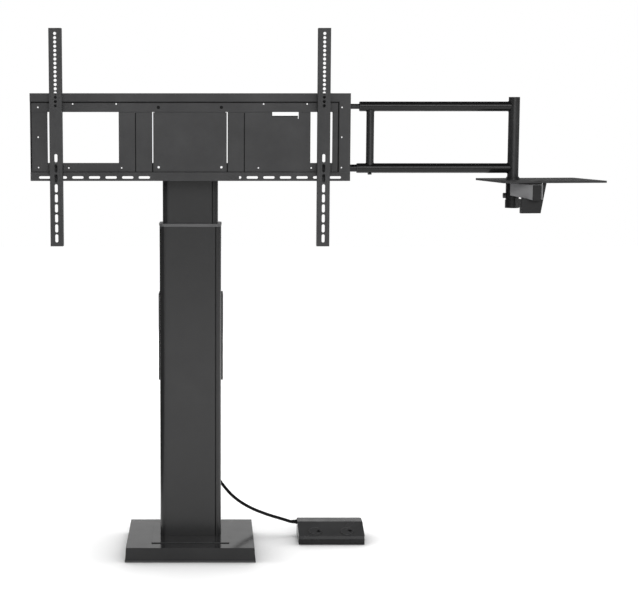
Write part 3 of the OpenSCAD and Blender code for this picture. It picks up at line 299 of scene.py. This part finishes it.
# Mesh helpers
def add_mesh(name, verts, faces, body, slot, material=None, smooth=True):
    """A piece of the scene that rides on a body. Its points are in metres."""
    me = bpy.data.meshes.new(name)
    me.from_pydata([tuple(v) for v in verts], [], faces)
    bm = bmesh.new()
    bm.from_mesh(me)
    bmesh.ops.recalc_face_normals(bm, faces=bm.faces)
    bm.to_mesh(me)
    bm.free()
    ob = bpy.data.objects.new(name, me)
    scene.collection.objects.link(ob)
    if smooth:
        me.shade_smooth()
        me.set_sharp_from_angle(angle=math.radians(35))
    me.materials.append(mats[material or slot])
    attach(ob, body)
    return ob


def lathe(rings, sides, shape=None):
    """Verts and faces of a closed form on +Z. A ring is (radius, height), and shape(i, angle) scales it."""
    verts, faces = [], []
    for i, (r, z) in enumerate(rings):
        for k in range(sides):
            a = 2 * math.pi * k / sides
            q = r * (shape(i, a) if shape else 1)
            verts.append(Vector((q * math.cos(a), q * math.sin(a), z)))
    for i in range(len(rings) - 1):
        for k in range(sides):
            a, b = i * sides + k, i * sides + (k + 1) % sides
            faces.append((a, b, b + sides, a + sides))
    faces.append(tuple(reversed(range(sides))))
    n = (len(rings) - 1) * sides
    faces.append(tuple(range(n, n + sides)))
    return verts, faces


def place(verts, origin, out, spin=0.0):
    """Turns points in millimetres so that +Z runs along out, moves them to an origin, and gives metres."""
    q = Vector(out).to_track_quat("Z", "Y")
    m = Matrix.Translation(Vector(mm(*origin))) @ q.to_matrix().to_4x4() @ Matrix.Rotation(spin, 4, "Z")
    return [m @ (v / 1000) for v in verts]


def joined(parts):
    """Several forms as one."""
    verts, faces = [], []
    for vs, fs in parts:
        n = len(verts)
        verts += vs
        faces += [tuple(i + n for i in f) for f in fs]
    return verts, faces


def socket_screw(origin, out, d, h, socket, spin):
    """A button head with a hexagon socket, its seat at origin."""
    r = d / 2
    head = [(r, 0), (r, h * 0.25), (r * 0.94, h * 0.55), (r * 0.8, h * 0.82), (r * 0.62, h * 0.96),
            (r * 0.52, h)]
    hole = [(socket / 2, h), (socket / 2, h * 0.35), (socket / 5, h * 0.3)]

    def hexed(i, a):
        if i < len(head):
            return 1
        return 1 / math.cos((a + math.pi / 6) % (math.pi / 3) - math.pi / 6)
    verts, faces = lathe(head + hole, 24, hexed)
    return place(verts, origin, out, spin), faces


def bead(points, radius):
    """A weld bead along a closed loop of points in millimetres, with fine ripples."""
    askew = Vector((0.31, 0.77, 0.55))  # along none of the loops
    wobble = 0.12
    n, sides = len(points), 8
    verts, faces = [], []
    for i in range(n):
        p, a, b = points[i], points[i - 1], points[(i + 1) % n]
        t = (b - a).normalized()
        u = t.cross(askew).normalized()
        v = t.cross(u)
        r = radius * (1 + wobble * math.sin(i * 2.1))
        for k in range(sides):
            c = 2 * math.pi * k / sides
            verts.append((p + (u * math.cos(c) + v * math.sin(c)) * r) / 1000)
    for i in range(n):
        for k in range(sides):
            a, b = i * sides, ((i + 1) % n) * sides
            faces.append((a + k, a + (k + 1) % sides, b + (k + 1) % sides, b + k))
    return verts, faces


def strip(x0, x1, z0, z1, y0, y1, round_r=0.5):
    """A long flat bar with its front edges rounded."""
    r = min(round_r, min(x1 - x0, z1 - z0) * 0.45, (y1 - y0) * 0.9)
    steps = [(0.0, y1 - y0), (0.0, r), (r * 0.3, r * 0.3), (r, 0.0)]
    verts, faces = [], []
    for inset, depth in steps:
        for x, z in ((x0 + inset, z0 + inset), (x1 - inset, z0 + inset), (x1 - inset, z1 - inset),
                     (x0 + inset, z1 - inset)):
            verts.append(Vector((x, y0 + depth, z)) / 1000)
    for i in range(len(steps) - 1):
        for k in range(4):
            m, n = i * 4 + k, i * 4 + (k + 1) % 4
            faces.append((m, n, n + 4, m + 4))
    return verts, faces + [(3, 2, 1, 0), (12, 13, 14, 15)]


# Control cord, from the case behind the column to the console
CORD_RADIUS = 0.005  # in metres
ROUTE = [
    (80, 92, 270), (80, 92, 257), (80, 92, 244), (80.1, 92, 231), (81.3, 92, 217), (84.9, 92, 203),
    (91, 92, 190), (98, 92.5, 179.5), (106, 93, 169), (114, 94, 159), (122, 94, 149.5), (132, 95, 139),
    (143, 96, 129), (155, 97, 119.5), (168, 98, 110.5), (184, 99, 101), (200, 100.5, 92.5),
    (216, 102, 85), (233, 103, 78.3), (249, 104, 72.2), (265, 105.5, 66.6), (282, 107, 61.1),
    (298, 108.5, 56), (311, 110.5, 51.3), (323, 112, 47),
]


def smooth_line(points, steps=6):
    """Points on one smooth line through the points given, in metres."""
    p = [Vector(mm(*q)) for q in points]
    p = [p[0] * 2 - p[1]] + p + [p[-1] * 2 - p[-2]]
    out = []
    for i in range(1, len(p) - 2):
        for s in range(steps):
            t = s / steps
            a, b, c, d = p[i - 1:i + 3]
            out.append(0.5 * (2 * b + (c - a) * t + (2 * a - 5 * b + 4 * c - d) * t * t
                              + (3 * b - a - 3 * c + d) * t ** 3))
    return out + [p[-2]]


line = smooth_line(ROUTE)
curve = bpy.data.curves.new("flex", "CURVE")
curve.dimensions = "3D"
curve.bevel_depth = CORD_RADIUS
curve.bevel_resolution = 6
curve.use_fill_caps = True
spline = curve.splines.new("POLY")
spline.points.add(len(line) - 1)
for pt, v in zip(spline.points, line):
    pt.co = (*v, 1)
    pt.radius = 1
spline.use_smooth = True
flex = bpy.data.objects.new("flex", curve)
scene.collection.objects.link(flex)
curve.materials.append(mats["cord_rubber"])
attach(flex, "base")
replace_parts(flex, "control_cord")

# Strain reliefs at the cord's two ends
RELIEF_LENGTH = 20
RELIEF_ROOT = [(5.5, -6), (5.5, 0), (7.5, 0), (7.5, 2.6), (7.1, 3.0)]
RIBS = 6
RIB_PITCH = 2.6
FIRST_RIB, LAST_RIB = 6.8, 5.4  # the ribs' radii grow smaller
RIB_DEPTH = 0.9
TIP_RADIUS = 5.3


def relief(origin, out):
    rings = list(RELIEF_ROOT)
    z = RELIEF_ROOT[-1][1]
    for i in range(RIBS):
        r = FIRST_RIB - (FIRST_RIB - LAST_RIB) * i / RIBS
        rings += [(r, z + 0.3), (r, z + 1.9), (r - RIB_DEPTH, z + 2.1), (r - RIB_DEPTH, z + RIB_PITCH)]
        z += RIB_PITCH
    rings += [(5.5, z + 0.3), (TIP_RADIUS, RELIEF_LENGTH)]
    verts, faces = lathe(rings, 28)
    return place(verts, origin, out), faces


glands = joined([relief((80, 92, 290), (0, 0, -1)), relief((343, 112, 47), (-1, 0, 0))])
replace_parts(add_mesh("strain_reliefs", *glands, "base", "cord_rubber"), "cord_glands")

# Weld beads where the tubes meet the pole and the brace post
POLE_X, BRACE_X, ARM_Y = 976, 543, -110
UPPER_Z, LOWER_Z = 1383, 1198
POLE_WELD, POLE_BEAD = (17.3, 14.9), 1.4  # radii of the big and the small tube, and of the bead
BRACE_WELD, BRACE_BEAD = (15.2, 12.0), 1.2


def saddle(centre, big, small, side, axis, n=72):
    """The loop where a small tube meets a big one. axis is the small tube's direction."""
    loop = []
    for i in range(n):
        a = 2 * math.pi * i / n
        p, q = small * math.cos(a), small * math.sin(a)
        far = math.sqrt(big * big - p * p)
        loop.append(centre + (Vector((side * far, p, q)) if axis == "x" else Vector((q, p, side * far))))
    return loop


welds = [bead(saddle(Vector((POLE_X, ARM_Y, z)), *POLE_WELD, -1, "x"), POLE_BEAD)
         for z in (UPPER_Z, LOWER_Z)]
welds += [bead(saddle(Vector((BRACE_X, ARM_Y, z)), *BRACE_WELD, side, "z"), BRACE_BEAD)
          for z, side in ((UPPER_Z, -1), (LOWER_Z, 1))]
add_mesh("tube_welds", *joined(welds), "side_arm", "tube_paint")

# Black strips in the right-hand grooves of the two column tubes: painted shade in those grooves
OUTER_GROOVE_X, INNER_GROOVE_X = 78, 68
GROOVE_HALF = 1.5


def groove_shade_strip(x, node):
    """A black strip in the groove of a column tube, a little below the tube's face: painted shade in the
    groove.
    """
    low, high = (c * 1000 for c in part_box(node))
    return strip(x - GROOVE_HALF, x + GROOVE_HALF, low.z + 1, high.z - 1, low.y + 0.1, low.y + 1.4, 0.4)


# Both strips are black painted shade, not rubber.
add_mesh("outer_groove_shade_strip", *groove_shade_strip(OUTER_GROOVE_X, "outer_column"), "base", "rubber", "mark")
add_mesh("inner_groove_shade_strip", *groove_shade_strip(INNER_GROOVE_X, "inner_column"), "lift", "rubber", "mark")

# Black strips in the seams, slits and steps of the frame's front, painted shade in those gaps: x from and
# to, z from and to, y from and to
POST_SEAM_X, POST_SEAM_HALF = 163.5, 1.6  # the seam at each post's outer edge
SEAMS = [
    (-479, 447.5, 1393.4, 1396.9, -132.2, -129.5),  # under the top strip
    (444.2, 447.8, 1187.5, 1396.9, -131.6, -129.5),  # down the right end plate
    (-478.6, -475.4, 1187.5, 1393.2, -130.9, -129.5),  # down the left end plate, near its outer edge
    (-479, 445, 1185.2, 1187.4, -130.9, -129.2),  # between the bottom strip and the panels
]
for x in (-POST_SEAM_X, POST_SEAM_X):
    SEAMS.append((x - POST_SEAM_HALF, x + POST_SEAM_HALF, 1187.6, 1364.8, -130.4, -128.9))
for s in (-1, 1):  # the slit beside the middle panel: its lower part, and the post's edge above that
    SEAMS.append((*sorted((s * 110.7, s * 114.1)), 1187.6, 1213.6, -130.2, -128.9))
    SEAMS.append((*sorted((s * 113.3, s * 114.9)), 1214.0, 1365.6, -130.4, -129.0))
SEAMS.append((247.2, 323.6, 1352.2, 1355.0, -130.9, -129.4))  # under the cable notch
# These black strips are painted shade, not rubber.
add_mesh("seam_shade_strips", *joined([strip(*seam) for seam in SEAMS]), "lift", "black_plastic", "mark")

# A lighter strip on the front edge of the trim plate round the column's foot: painted light on that edge
trim_low, trim_high = (c * 1000 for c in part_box("foot_trim"))
add_mesh("trim_edge", *strip(trim_low.x + 0.3, trim_high.x - 0.3, trim_low.z + 0.1, trim_high.z - 0.1,
                             trim_low.y - 0.25, trim_low.y + 0.3, 0.2), "base", "base_gloss", "trim_edge")

# Screws of the case's lid, and caps on the frame bolts
LID_Y, BOLT_X, BOLT_Z, FRAME_Y = 107, 94.5, 1380, -130.0
LID_SCREW = (7, 2.2, 3)  # the head's diameter and height, and its socket's width
CAP = [(4.2, -0.5), (4.9, 0.0), (5.0, 0.4), (4.7, 0.9), (3.6, 1.25), (2.0, 1.4), (0.6, 1.45)]

lid = [socket_screw((x, LID_Y, z), (0, 1, 0), *LID_SCREW, 0.2 * x) for x in (-66, 74) for z in (320, 446)]
add_mesh("lid_screws", *joined(lid), "base", "zinc_steel")


def bolt_cap(x):
    verts, faces = lathe(CAP, 28)
    return place(verts, (x, FRAME_Y, BOLT_Z), (0, -1, 0)), faces


caps = joined([bolt_cap(-BOLT_X), bolt_cap(BOLT_X)])
add_mesh("bolt_caps", *caps, "lift", "black_plastic", "mark")

# Arrows on the buttons
SLOPE = math.atan2(27.6, 83)
SLOPE_FOOT_Z = 27.4
CONSOLE_MID_X = 448
BUTTON_X = 50.5  # from the console's middle
BUTTON_UP = 30  # from the slope's foot to the buttons' middles
ARROW_X, ARROW_HALF = 10, 7.2
ARROW_FROM, ARROW_TO = 1.2, 1.8  # over the slope


def on_slope(side, x, up, out):
    """A point on the left or right button: along the console, up its slope and out of it."""
    c, s = math.cos(SLOPE), math.sin(SLOPE)
    y = up + BUTTON_UP
    return Vector((CONSOLE_MID_X + side * BUTTON_X + x, y * c - out * s,
                   SLOPE_FOOT_Z + y * s + out * c)) / 1000


def arrow(side, flip):
    h = ARROW_HALF
    tri = [(-h, -h * 0.8 * flip), (h, -h * 0.8 * flip), (0, h * 0.9 * flip)]
    verts = [on_slope(side, ARROW_X + x, y, out) for out in (ARROW_FROM, ARROW_TO) for x, y in tri]
    return verts, [(0, 1, 2), (3, 4, 5), (0, 1, 4, 3), (1, 2, 5, 4), (2, 0, 3, 5)]


for side, body, flip in ((-1, "up_button", 1), (1, "down_button", -1)):
    add_mesh(body + "_mark", *arrow(side, flip), body, "black_plastic", "mark", smooth=False)

# Floor
FLOOR_HALF = 12
FLOOR_GREY = 0.80
LIFT_NEAR, LIFT_FAR, LIFT_EDGE = 0.51, 0.74, 0.14  # the glow at 0.5 m and at 3 m, and what 7 m adds
# How far the painted contact shadow in the floor's glow reaches, and how steeply it fades
CONTACT_SHADOW_REACH = 0.5
CONTACT_SHADOW_POWER = 5.0


def floor_material():
    """Takes the object's shadow, and shows white to the camera and in reflections; near the object that
    white is dimmed by ambient occlusion, a painted contact shadow.
    """
    m = bpy.data.materials.new("floor")
    m.use_nodes = True
    nt = m.node_tree
    nt.nodes.clear()
    out = nt.nodes.new("ShaderNodeOutputMaterial")
    diffuse = nt.nodes.new("ShaderNodeBsdfDiffuse")
    diffuse.inputs["Color"].default_value = (FLOOR_GREY, FLOOR_GREY, FLOOR_GREY, 1)
    glowing = nt.nodes.new("ShaderNodeEmission")
    glowing.inputs["Color"].default_value = (1, 1, 1, 1)
    away = nt.nodes.new("ShaderNodeVectorMath")
    away.operation = "LENGTH"
    nt.links.new(object_coords(nt), away.inputs[0])
    near = remap(nt, away.outputs["Value"], 0.5, 3.0, LIFT_NEAR, LIFT_FAR)
    far = remap(nt, away.outputs["Value"], 3.0, 7.0, 0.0, LIFT_EDGE)
    path = nt.nodes.new("ShaderNodeLightPath")
    mirrored = math_node(nt, "MAXIMUM", path.outputs["Is Glossy Ray"], path.outputs["Is Transmission Ray"])
    seen = math_node(nt, "MAXIMUM", path.outputs["Is Camera Ray"], mirrored)
    # Ambient occlusion dims the glow near the object: a painted contact shadow.
    contact = nt.nodes.new("ShaderNodeAmbientOcclusion")
    contact.samples = 12
    contact.inputs["Distance"].default_value = CONTACT_SHADOW_REACH
    lift = math_node(nt, "MULTIPLY", math_node(nt, "ADD", near, far),
                     math_node(nt, "POWER", contact.outputs["AO"], CONTACT_SHADOW_POWER))
    nt.links.new(math_node(nt, "MULTIPLY", seen, lift), glowing.inputs["Strength"])
    add = nt.nodes.new("ShaderNodeAddShader")
    nt.links.new(diffuse.outputs[0], add.inputs[0])
    nt.links.new(glowing.outputs[0], add.inputs[1])
    nt.links.new(add.outputs[0], out.inputs["Surface"])
    return m


def stage_sheet(name, corners, material):
    """A flat sheet that isn't part of the object."""
    me = bpy.data.meshes.new(name)
    me.from_pydata(corners, [], [(0, 1, 2, 3)])
    ob = bpy.data.objects.new(name, me)
    scene.collection.objects.link(ob)
    me.materials.append(material)
    return ob


floor_corners = [(x * FLOOR_HALF, y * FLOOR_HALF, 0) for x, y in ((-1, -1), (1, -1), (1, 1), (-1, 1))]
floor = stage_sheet("floor", floor_corners, floor_material())

# World: white to the camera. Reflections see it dark on the left and above, brighter on the right, with
# a soft band in front and a low pale band behind.
world = bpy.data.worlds.new("world")
scene.world = world
world.use_nodes = True
wnt = world.node_tree
wnt.nodes.clear()
wout = wnt.nodes.new("ShaderNodeOutputWorld")
wbg = wnt.nodes.new("ShaderNodeBackground")
wtc = wnt.nodes.new("ShaderNodeTexCoord")
wsep = wnt.nodes.new("ShaderNodeSeparateXYZ")
wnt.links.new(wtc.outputs["Generated"], wsep.inputs[0])
wx, wy, wz = (wsep.outputs[k] for k in "XYZ")


def ramp(part, start, end, low, high):
    """A level that goes from low to high as a part of the direction goes from start to end."""
    return remap(wnt, part, start, end, low, high)


def times(a, b):
    return math_node(wnt, "MULTIPLY", a, b)


def larger(a, b):
    return math_node(wnt, "MAXIMUM", a, b)


overhead = ramp(wz, 0.40, 0.75, 1.0, 0.2)
sides = times(ramp(wx, -0.7, 0.9, 0.06, 0.22), overhead)
front = times(times(ramp(wy, -0.45, -0.95, 0.0, 0.84), ramp(wx, -0.38, -0.12, 0.08, 1.0)),
              times(ramp(wx, 0.25, 0.55, 1.0, 0.35), overhead))
back = times(times(ramp(wy, 0.2, 0.7, 0.0, 0.95), ramp(wz, 0.12, 0.20, 0.15, 1.0)),
             ramp(wz, 0.31, 0.38, 1.0, 0.0))
band = times(times(ramp(wz, 0.20, 0.32, 0.0, 4.4), ramp(wz, 0.50, 0.64, 1.0, 0.0)),
             times(ramp(wy, -0.4, -0.8, 0.0, 1.0),
                   times(ramp(wx, -0.15, 0.0, 0.3, 1.0), ramp(wx, 0.28, 0.45, 1.0, 0.2))))
level = larger(larger(sides, front), larger(back, band))
wpath = wnt.nodes.new("ShaderNodeLightPath")
wnt.links.new(larger(level, wpath.outputs["Is Camera Ray"]), wbg.inputs["Strength"])
wbg.inputs["Color"].default_value = (1, 1, 1, 1)
wnt.links.new(wbg.outputs[0], wout.inputs["Surface"])

# Lamps, which reflections don't see: where each stands, what it points at, its size and its power
LAMPS = {
    "key_light": ((0.3, -5.2, 2.6), (0.2, 0, 0.9), (2.4, 1.2), 116),
    "top_light": ((0.3, 1.0, 4.2), (0.3, 0, 0), (3.6, 2.4), 70),
    "left_fill": ((-4.5, -0.2, 1.8), (0, 0, 0.9), (2.5, 1.8), 80),
    "right_fill": ((5.5, 0.2, 1.8), (0.3, 0, 0.9), (2.5, 1.8), 70),
    "back_fill": ((0.2, 5.0, 1.9), (0.2, 0, 0.9), (2.5, 1.8), 75),
}

for name, (location, target, size, energy) in LAMPS.items():
    light = bpy.data.lights.new(name, "AREA")
    light.shape = "RECTANGLE"
    light.size, light.size_y = size
    light.energy = energy
    lamp = bpy.data.objects.new(name, light)
    scene.collection.objects.link(lamp)
    lamp.location = location
    lamp.rotation_euler = (Vector(target) - Vector(location)).to_track_quat("-Z", "Y").to_euler()
    lamp.visible_glossy = False

# A dark card at the left that only reflections see
CARD_X = -0.80
CARD_FRONT, CARD_BACK = -3.3, 1.4
CARD_LOW, CARD_HIGH = 0.002, 1.15

card_corners = [(CARD_X, CARD_FRONT, CARD_LOW), (CARD_X, CARD_BACK, CARD_LOW),
                (CARD_X, CARD_BACK, CARD_HIGH), (CARD_X, CARD_FRONT, CARD_HIGH)]
card = stage_sheet("card", card_corners, mats["mark"])
for kind in ("camera", "diffuse", "transmission", "shadow", "volume_scatter"):
    setattr(card, "visible_" + kind, False)
